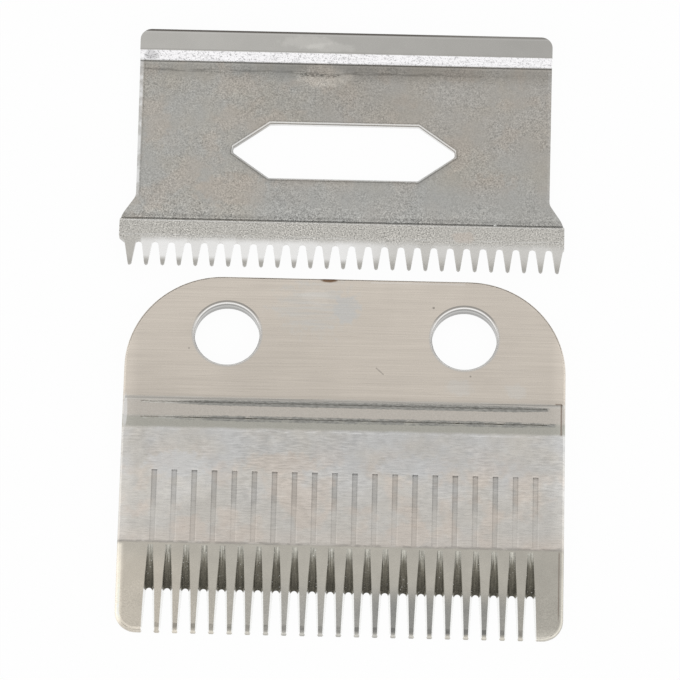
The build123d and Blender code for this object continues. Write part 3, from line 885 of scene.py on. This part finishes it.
def cutter_specks(s, colour):
    """Fine specks on the land and the middle, pits behind the step, and grey specks on the heel's slope."""
    front = s.between(s.y, 5.0, 8.0, 1.7, 0.1)
    depth = s.math("ADD", front, s.between(s.mottle(4.2), 0.1, 0.9, 0.6, 1.8))
    off_heel = s.between(s.y, HEEL_FOOT - 0.3, HEEL_FOOT, 1.0, 0.0)
    off_teeth = s.between(s.y, ROOT_LINE - 0.4, ROOT_LINE + 0.5, 0.2, 1.0)
    colour = s.scaled(colour, s.speck(s.product(depth, off_heel, off_teeth)))
    middle = s.band(s.y, LAND_REAR, HEEL_FOOT - 0.3, 0.1)
    pits = s.product(s.fleck(0.22, 0.64), middle, s.between(s.mottle(6.0), 0.3, 0.9))
    colour = s.shaded(colour, pits, 0.87)
    cluster = s.product(s.fleck(0.22, 0.6), s.mark(*SHEET_PITTED_PATCH))
    colour = s.shaded(colour, cluster, 0.75)
    slope = s.band(s.y, HEEL_FOOT, HEEL_TOP, 0.04)
    grey = s.product(s.fleck(0.17, 0.56), slope, s.between(s.x, 20.0, 44.0, 1.0, 0.8))
    colour = s.shaded(colour, grey, 0.6)
    streak = s.product(s.between(s.grain(*SLOPE_STREAKS), 0.55, 0.9), slope)
    colour = s.shaded(colour, streak, 0.84)
    colour = s.shaded(colour, s.product(s.mark(*SLOPE_DARK_END), slope), 0.7)
    return s.scaled(colour, s.speck(s.product(slope, 0.3)))


def cutter_teeth(s, colour):
    """Teeth: bright from the root line down on the left, weaker on the right, grey at their ends."""
    _, number = s.in_row(TOOTH_FIRST, TOOTH_LAST, TOOTH_COUNT)
    left = s.between(s.x, 23.0, 30.0, 1.0, 0.0)
    amount = s.math("MULTIPLY_ADD", s.chance(number), 0.25, s.math("MULTIPLY_ADD", left, 0.5, 0.2))
    amount = s.product(amount, s.between(s.x, 2.2, 2.4))
    root = s.math("MULTIPLY_ADD", s.mottle(1.5), 0.12, s.y)
    fade_end = s.math("MULTIPLY_ADD", left, -0.8, 1.9)
    below_root = s.between(root, ROOT_LINE - 0.3, ROOT_LINE + 0.7, 1.0, 0.0)
    bright = s.product(s.between(s.y, 0.4, fade_end), below_root, amount)
    colour = s.mix(bright, colour, TOOTH_WHITE)
    colour = s.shaded(colour, s.between(s.y, 0.15, 1.0, 1.0, 0.0), 0.83)
    # Broken bright line behind the root line: painted highlight
    line = s.product(s.band(root, ROOT_LINE + 0.6, ROOT_LINE + 0.7, 0.05), s.grain(3.0, 0.8), 0.3)
    return s.mix(line, colour, HIGHLIGHT_STEEL)


def bend_lines(s, colour):
    """Lines along the step, the heel's slope and the rear edge: painted highlights and painted shade, with
    streaky drawn marks in front of the slope's foot.
    """
    # Painted highlight on the step's rim, and streaky painted shade behind the step
    step_rim = s.band(s.y, LAND_REAR - 0.12, LAND_REAR - 0.05, 0.04)
    step_rim = s.product(step_rim, s.between(s.x, 8.0, 20.0, 0.5, 0.35))
    colour = s.mix(step_rim, colour, HIGHLIGHT_STEEL)
    streak = s.grain(*BEND_STREAKS)
    over_step = s.band(s.y, STEP_FOOT + 0.2, STEP_FOOT + 0.55, 0.15)
    over_step = s.product(over_step, s.between(streak, 0.2, 0.7, 0.4, 1.0))
    colour = s.shaded(colour, over_step, 0.8)
    # Painted shade at the slope's foot, and painted highlight just in front of it
    foot = s.band(s.y, HEEL_FOOT, HEEL_FOOT + 0.16, 0.04)
    colour = s.shaded(colour, foot, 0.95)
    under = s.band(s.y, HEEL_FOOT - 0.28, HEEL_FOOT - 0.05, 0.05)
    colour = s.shaded(colour, under, 1.12)
    drawn = s.product(s.band(s.y, HEEL_FOOT - 1.15, HEEL_FOOT - 0.8, 0.15), s.between(streak, 0.25, 0.65))
    colour = s.shaded(colour, s.product(drawn, s.between(s.x, 30.0, 42.0, 1.0, 0.4)), 0.7)
    # Painted shade along the top of the slope
    top = s.band(s.y, HEEL_TOP + 0.06, HEEL_TOP + 0.14, 0.05)
    colour = s.shaded(colour, s.product(top, s.between(s.x, 20.0, 34.0, 1.0, 0.3)), 0.8)
    # Dark line of painted shade along the rear edge, and a faint painted highlight inside it
    line = s.product(s.between(s.y, s.length - 0.25, s.length - 0.17), s.between(s.x, 28.0, 42.0, 0.95, 0.5))
    colour = s.mix(line, colour, DARK_LINE)
    rim = s.product(s.band(s.y, s.length - 0.4, s.length - 0.3, 0.05), 0.12)
    return s.mix(rim, colour, HIGHLIGHT_STEEL)


def slot_edges(s, colour):
    """Rim of the drive slot: painted shade above a far wall darkened with painted shade, a pale foot of
    painted light on that wall, a painted highlight on the far chamfer, and lines of painted highlight and
    painted shade on the near side. Colour and matt mask."""
    behind = s.math("SUBTRACT", s.y, SLOT_STATION)
    across = s.from_middle()
    deep = s.math("ABSOLUTE", behind)
    run = SLOT_HALF_LENGTH - SLOT_HALF_FLAT
    rise = SLOT_HALF_HEIGHT - SLOT_HALF_END
    slant = math.hypot(run, rise)
    reach = (rise * SLOT_HALF_FLAT + run * SLOT_HALF_HEIGHT) / slant
    to_slant = s.math("MULTIPLY_ADD", across, rise / slant, s.math("MULTIPLY_ADD", deep, run / slant, -reach))
    to_flat = s.math("SUBTRACT", deep, SLOT_HALF_HEIGHT)
    away = s.largest(to_slant, to_flat, s.math("SUBTRACT", across, SLOT_HALF_LENGTH))
    far = s.between(behind, -0.2, 0.2)
    near = s.math("SUBTRACT", 1.0, far)
    # Painted shade above and on the far wall, painted highlight on the far chamfer, and painted light at the
    # wall's foot
    colour = s.shaded(colour, s.product(s.band(away, SLOT_RIM, SLOT_RIM + 0.12, 0.03), far), 0.8)
    chamfer = s.product(s.band(away, 0.03, SLOT_RIM - 0.02, 0.02), far)
    colour = s.mix(s.product(chamfer, 0.5), colour, HIGHLIGHT_STEEL)
    wall = s.product(s.between(away, 0.01, 0.03, 1.0, 0.0), far)
    colour = s.shaded(colour, wall, 0.68)
    pale_foot = s.between(s.z, SLOT_PALE_HEIGHT - 0.04, SLOT_PALE_HEIGHT + 0.04, 0.9, 0.0)
    pale_foot = s.product(wall, pale_foot, s.between(s.x, 14.0, 17.0, 0.3, 1.0))
    colour = s.mix(pale_foot, colour, TOOTH_WHITE)
    # Lines of painted shade and painted highlight on the near side
    colour = s.shaded(colour, s.product(s.band(away, 0.22, 0.34, 0.03), near), 0.66)
    colour = s.shaded(colour, s.product(s.between(away, 0.3, 0.8, 1.0, 0.0), near), 0.9)
    light = s.product(s.band(away, 0.03, SLOT_RIM + 0.03, 0.02), near)
    return s.mix(s.product(light, 0.4), colour, HIGHLIGHT_STEEL), s.product(light, 0.6)


def cutter_sides(s, colour):
    """Painted highlights in pale strips along the body's sides, with a thin line of painted shade inside
    them.
    """
    inset = s.math("SUBTRACT", BODY_HALF_WIDTH, s.from_middle())
    body = s.band(s.y, EAR_REAR, HEEL_FOOT, 0.4)
    left = s.between(s.x, 5.0, 6.0, 1.0, 0.0)
    pale = s.product(s.between(inset, 0.26, 0.36, 1.0, 0.0), body, s.math("MULTIPLY_ADD", left, 0.65, 0.1))
    pale = s.product(pale, s.between(s.mottle(1.6), 0.2, 0.7, 0.4, 1.0), s.between(s.normal_z, 0.4, 0.6))
    colour = s.mix(pale, colour, HIGHLIGHT_STEEL)
    return s.shaded(colour, s.product(s.band(inset, 0.4, 0.52, 0.05), body, left), 0.82)


def cutter_marks(s, colour):
    """Rubbed patch with dark smudges near the heel, a pink spot, and one white speck at the step.
    Colour and matt mask."""
    colour = s.shaded(colour, s.mark(*RUBBED_PATCH), 1.32)
    smudge = s.product(s.stroke(*RUBBED_SMUDGE), s.between(s.grain(0.35, 0.14), 0.4, 0.6))
    colour = s.shaded(colour, smudge, 0.48)
    colour = s.mix(s.product(s.mark(*LAND_PINK_SPOT), 0.5), colour, LAND_PINK)
    dust = s.mark(*DUST_SPECK)
    return s.mix(dust, colour, DUST_AND_GLINT_WHITE), dust


def cutter_steel(effects):
    s = Steel("cutter_steel", "cutter_blade", effects)
    colour = cutter_specks(s, cutter_zones(s))
    colour = cutter_teeth(s, colour)
    colour = bend_lines(s, colour)
    colour, rimmed = slot_edges(s, colour)
    colour = cutter_sides(s, colour)
    colour, dust = cutter_marks(s, colour)
    roughness = s.math("MULTIPLY_ADD", s.mottle(0.4), CUTTER_ROUGHNESS_SPREAD, CUTTER_ROUGHNESS)
    dull_step = s.product(s.band(s.y, LAND_REAR, STEP_FOOT, 0.05), 0.5)
    dull_foot = s.product(s.band(s.y, HEEL_FOOT, HEEL_FOOT + 0.16, 0.04), 0.5)
    matt = s.largest(dust, rimmed, dull_step, dull_foot)
    return s.finish(colour, roughness, matt, height=s.speck(1.0))


def dress(node, material):
    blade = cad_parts[node]
    blade.data.materials.clear()
    blade.data.materials.append(material)


make_world()
make_floor()
make_camera()
shared = {
    "grain": grain_group(),
    "mottle": mottle_group(),
    "fleck": fleck_group(),
    "mark": mark_group(),
    "stroke": stroke_group(),
    "speck": speck_group(),
}
shared["underside"] = underside_group(shared["grain"], shared["mottle"])
dress("fixed_blade", fixed_steel(shared))
dress("cutter_blade", cutter_steel(shared))

bpy.context.scene.view_settings.view_transform = "Standard"
